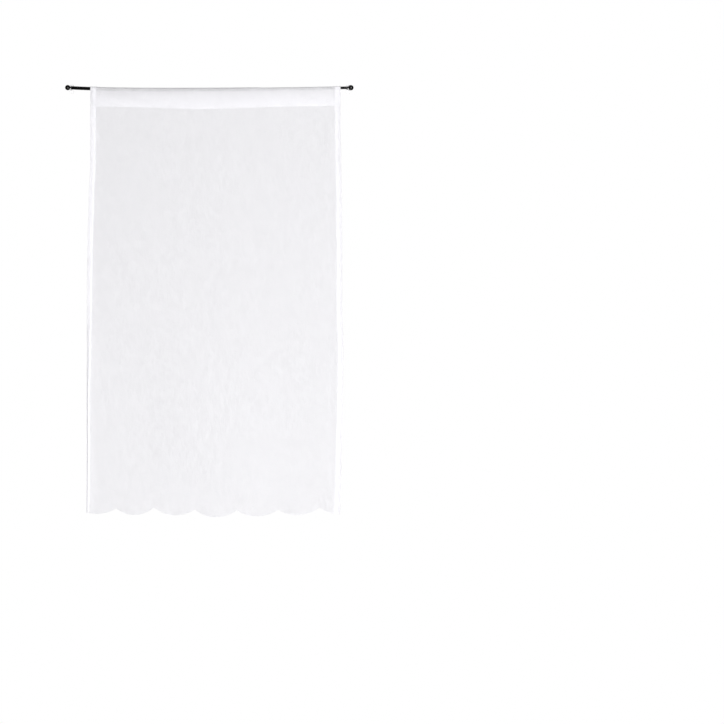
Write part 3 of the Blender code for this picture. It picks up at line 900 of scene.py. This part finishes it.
def cloth_material():
    """White slubbed voile: threads that scatter light forwards and back, with small pores between them."""
    nodes = Nodes("sheer_voile")
    across, down = nodes.flat_place()
    warp, warp_thick, warp_phase = threads(nodes, across, down, 2.7)
    weft, weft_thick, weft_phase = threads(nodes, down, across, 8.3)
    thick = nodes.math("MULTIPLY_ADD", weft_thick, WEFT_SLUB_SHARE, warp_thick)
    fullest = nodes.math("MULTIPLY_ADD", thick, SLUB_FILLS_PORES, nodes.math("MAXIMUM", warp, weft))
    solid = nodes.ramp(fullest, PORE_OPEN, PORE_CLOSED)
    forwards = nodes.math("MULTIPLY_ADD", thick, -SLUB_STOPS_LIGHT, FORWARD_SHARE)
    over = nodes.math(
        "MULTIPLY",
        nodes.math("COSINE", nodes.math("MULTIPLY", warp_phase, 0.5)),
        nodes.math("COSINE", nodes.math("MULTIPLY", weft_phase, 0.5)),
    )
    warp_height = nodes.math("MULTIPLY", warp, nodes.math("MULTIPLY_ADD", over, 0.5, 0.5))
    weft_height = nodes.math("MULTIPLY", weft, nodes.math("MULTIPLY_ADD", over, -0.5, 0.5))
    height = nodes.math("MULTIPLY_ADD", thick, SLUB_HEIGHT, nodes.math("MAXIMUM", warp_height, weft_height))
    relief = nodes.bump(height, WEAVE_RELIEF, 0.5)
    shader = nodes.shader
    share = nodes.math("MULTIPLY_ADD", thick, 0.5, 0.5)
    nodes.join(nodes.mix_colour(share, THIN_CLOTH, THICK_CLOTH), shader.inputs["Base Color"])
    shader.inputs["Roughness"].default_value = CLOTH_ROUGHNESS
    shader.inputs["Specular IOR Level"].default_value = CLOTH_GLOSS
    shader.inputs["Sheen Weight"].default_value = CLOTH_SHEEN
    shader.inputs["Sheen Roughness"].default_value = CLOTH_SHEEN_ROUGHNESS
    nodes.join(relief, shader.inputs["Normal"])
    through = nodes.tree.nodes.new("ShaderNodeBsdfTranslucent")
    through.inputs["Color"].default_value = (*LIT_THROUGH, 1.0)
    nodes.join(relief, through.inputs["Normal"])
    gap = nodes.tree.nodes.new("ShaderNodeBsdfTransparent")
    cloth = nodes.mix_shader(forwards, shader.outputs[0], through.outputs[0])
    nodes.join(nodes.mix_shader(solid, gap.outputs[0], cloth), nodes.output.inputs["Surface"])
    return nodes.material


def thread_material():
    """White sewing thread with fine strands."""
    nodes = Nodes("sewing_thread")
    place = nodes.object_place()
    strands = nodes.noise(place, STRAND_REPEATS, 1.0)
    shader = nodes.shader
    nodes.join(nodes.mix_colour(strands, STRAND_DARK, STRAND_PALE), shader.inputs["Base Color"])
    nodes.join(nodes.ramp(strands, 0.3, 0.7, *STRAND_ROUGHNESS), shader.inputs["Roughness"])
    nodes.join(nodes.bump(strands, STRAND_RELIEF), shader.inputs["Normal"])
    return nodes.material


def rod_material(name, gloss):
    """Black lacquer with a faint orange peel and a little dust in its gloss."""
    nodes = Nodes(name)
    place = nodes.object_place()
    dust = nodes.noise(place, DUST_REPEATS, 4.0)
    peel = nodes.noise(place, PEEL_REPEATS, 1.0)
    shader = nodes.shader
    nodes.join(nodes.mix_colour(dust, LACQUER_CLEAN, LACQUER_DUSTY), shader.inputs["Base Color"])
    nodes.join(nodes.ramp(dust, 0.35, 0.75, *LACQUER_ROUGHNESS), shader.inputs["Roughness"])
    nodes.join(nodes.bump(peel, PEEL_RELIEF, 0.5), shader.inputs["Normal"])
    shader.inputs["Specular IOR Level"].default_value = gloss
    return nodes.material


def hook_material():
    """White moulded plastic with a soft gloss."""
    nodes = Nodes("white_plastic")
    place = nodes.object_place()
    flow = nodes.noise(place, FLOW_REPEATS, 3.0)
    grain = nodes.noise(place, GRAIN_REPEATS, 2.0)
    shader = nodes.shader
    nodes.join(nodes.mix_colour(flow, PLASTIC_DULL, PLASTIC_PALE), shader.inputs["Base Color"])
    nodes.join(nodes.ramp(flow, 0.3, 0.7, *PLASTIC_ROUGHNESS), shader.inputs["Roughness"])
    nodes.join(nodes.bump(grain, GRAIN_RELIEF, 0.4), shader.inputs["Normal"])
    return nodes.material


def floor_material():
    """Pale floor that fades out into the white of the room; its glow is for the eye and lights nothing."""
    nodes = Nodes("pale_floor")
    place = nodes.object_place()
    length = nodes.tree.nodes.new("ShaderNodeVectorMath")
    length.operation = "LENGTH"
    nodes.join(place, length.inputs[0])
    pale = (FLOOR_PALENESS, FLOOR_PALENESS, FLOOR_PALENESS, 1.0)
    nodes.shader.inputs["Base Color"].default_value = pale
    nodes.shader.inputs["Roughness"].default_value = FLOOR_ROUGHNESS
    away = nodes.ramp(length.outputs["Value"], FLOOR_RADIUS * FLOOR_FADE_FROM, FLOOR_RADIUS)
    glow = nodes.tree.nodes.new("ShaderNodeEmission")
    glow.inputs["Color"].default_value = pale
    path = nodes.tree.nodes.new("ShaderNodeLightPath")
    seen = nodes.math("MULTIPLY", path.outputs["Is Camera Ray"], FLOOR_GLOW)
    surface = nodes.mix_shader(seen, nodes.shader.outputs[0], glow.outputs[0])
    clear = nodes.tree.nodes.new("ShaderNodeBsdfTransparent")
    nodes.join(nodes.mix_shader(away, surface, clear.outputs[0]), nodes.output.inputs["Surface"])
    return nodes.material


# Room


def make_floor():
    """A round floor below the curtain, left unattached to any body so that it is no part of the object."""
    builder = bmesh.new()
    bmesh.ops.create_circle(builder, cap_ends=True, segments=FLOOR_SIDES, radius=FLOOR_RADIUS)
    mesh = bpy.data.meshes.new("floor")
    builder.to_mesh(mesh)
    builder.free()
    mesh.materials.append(floor_material())
    floor = bpy.data.objects.new("floor", mesh)
    floor.location = (HOOK_SPACING / 2, -ROD_STANDOFF, FLOOR_Z)
    bpy.context.scene.collection.objects.link(floor)


def make_camera():
    """The photograph's view: level and square on, with its long lens."""
    data = bpy.data.cameras.new("camera")
    data.sensor_width = SENSOR_WIDTH
    data.lens = SENSOR_WIDTH * CAMERA_DISTANCE / PICTURE_WIDTH
    camera = bpy.data.objects.new("camera", data)
    camera.location = (CAMERA_X, -ROD_STANDOFF - CAMERA_DISTANCE, CAMERA_Z)
    camera.rotation_euler = (math.pi / 2, 0, 0)
    bpy.context.scene.collection.objects.link(camera)
    bpy.context.scene.camera = camera


# Lamps: where each stands, what it aims at, its side and its watts. All light is faintly lilac.
Lamp = namedtuple("Lamp", "name place aim size power")
LAMPS = (
    Lamp("key", (1.55, -4.05, -0.45), (0.30, 0.0, -0.45), 1.2, 165.0),
    Lamp("low_fill", (0.60, -2.60, -1.55), (0.30, 0.0, -0.60), 1.8, 38.0),
    Lamp("top_fill", (0.30, -0.70, 2.20), (0.30, 0.0, 0.0), 1.2, 16.0),
    Lamp("back_glow", (0.32, 2.20, -0.60), (0.30, 0.0, -0.50), 1.2, 4.0),
)
LIGHT_COLOUR = (0.984, 0.980, 1.0)
ROOM_LIGHT = 0.10
ROOM_WHITE = 1.0


def make_lamps():
    for lamp in LAMPS:
        data = bpy.data.lights.new(lamp.name, "AREA")
        data.shape = "SQUARE"
        data.size = lamp.size
        data.energy = lamp.power
        data.color = LIGHT_COLOUR
        light = bpy.data.objects.new(lamp.name, data)
        light.location = lamp.place
        light.rotation_euler = (Vector(lamp.aim) - Vector(lamp.place)).to_track_quat("-Z", "Y").to_euler()
        light.visible_camera = False
        bpy.context.scene.collection.objects.link(light)


def make_room():
    """White all round for the eye, and a softer even light for the curtain."""
    world = bpy.data.worlds.new("room")
    world.use_nodes = True
    tree = world.node_tree
    tree.nodes.clear()
    seen = tree.nodes.new("ShaderNodeBackground")
    seen.inputs["Color"].default_value = (1.0, 1.0, 1.0, 1.0)
    seen.inputs["Strength"].default_value = ROOM_WHITE
    lit = tree.nodes.new("ShaderNodeBackground")
    lit.inputs["Color"].default_value = (*LIGHT_COLOUR, 1.0)
    lit.inputs["Strength"].default_value = ROOM_LIGHT
    path = tree.nodes.new("ShaderNodeLightPath")
    mix = tree.nodes.new("ShaderNodeMixShader")
    output = tree.nodes.new("ShaderNodeOutputWorld")
    tree.links.new(path.outputs["Is Camera Ray"], mix.inputs[0])
    tree.links.new(lit.outputs[0], mix.inputs[1])
    tree.links.new(seen.outputs[0], mix.inputs[2])
    tree.links.new(mix.outputs[0], output.inputs["Surface"])
    bpy.context.scene.world = world
    bpy.context.scene.view_settings.view_transform = "Standard"


def main():
    make_camera()
    make_room()
    make_lamps()
    make_floor()
    tube_black = rod_material("tube_lacquer", TUBE_GLOSS)
    ball_black = rod_material("ball_lacquer", BALL_GLOSS)
    white = hook_material()
    curtain = make_curtain(cloth_material())
    stitching = make_stitching(thread_material())
    tube_start = NECK_LENGTH / 2 + SHOULDER_LENGTH + CLEARANCE
    tube_end = HOOK_SPACING - tube_start
    outer = (OUTER_TUBE_DIAMETER, OUTER_TUBE_WALL)
    inner = (INNER_TUBE_DIAMETER, INNER_TUBE_WALL)
    pieces = {
        "rod_outer_tube": make_tube("thick_tube", tube_start, OUTER_TUBE_END, *outer, tube_black),
        "rod_inner_tube": make_tube("thin_tube", INNER_TUBE_START, tube_end, *inner, tube_black),
        "finial_left": make_finial("left_ball", 0, -1, *outer, ball_black),
        "finial_right": make_finial("right_ball", HOOK_SPACING, 1, *inner, ball_black),
    }
    for node, piece in pieces.items():
        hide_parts(node)
    make_hook("left_hook", "hook_left", white)
    make_hook("right_hook", "hook_right", white)


main()
